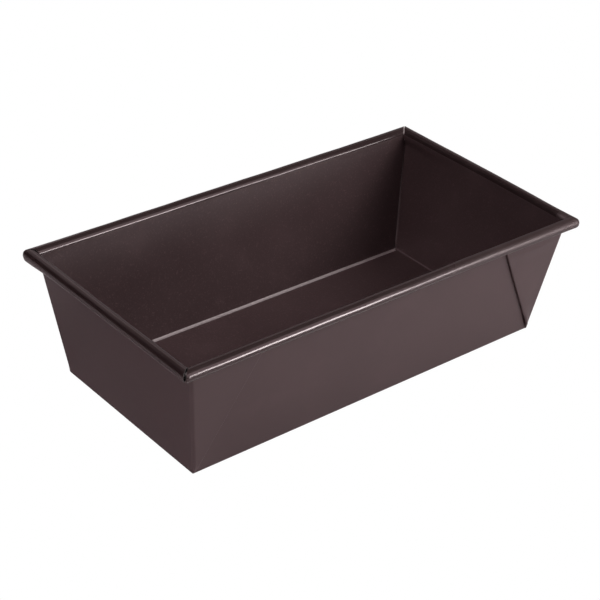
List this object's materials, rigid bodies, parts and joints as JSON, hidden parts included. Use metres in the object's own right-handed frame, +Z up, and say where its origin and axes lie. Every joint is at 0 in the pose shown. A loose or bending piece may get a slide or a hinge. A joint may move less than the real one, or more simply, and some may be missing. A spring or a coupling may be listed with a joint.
{
  "type": "loaf pan",
  "caption": "Folded sheet-steel loaf pan with a dark non-stick coating, tapered walls, doubled gusset corners and a rim rolled round a steel wire.",
  "frame": {"origin": "middle of the flat base's underside, on the surface that the pan stands on", "axes": "+X along the pan's length, +Y across it, +Z up out of the open top"},
  "size_m": [0.2534, 0.138, 0.0705],
  "materials": {
    "coated_sheet": "satin dark brown non-stick coating, smooth outside, finely speckled inside",
    "steel_wire": "plain drawn steel wire"
  },
  "bodies": {
    "root": {"pan_body": "coated_sheet", "rim_wire": "steel_wire"}
  },
  "joints": []
}
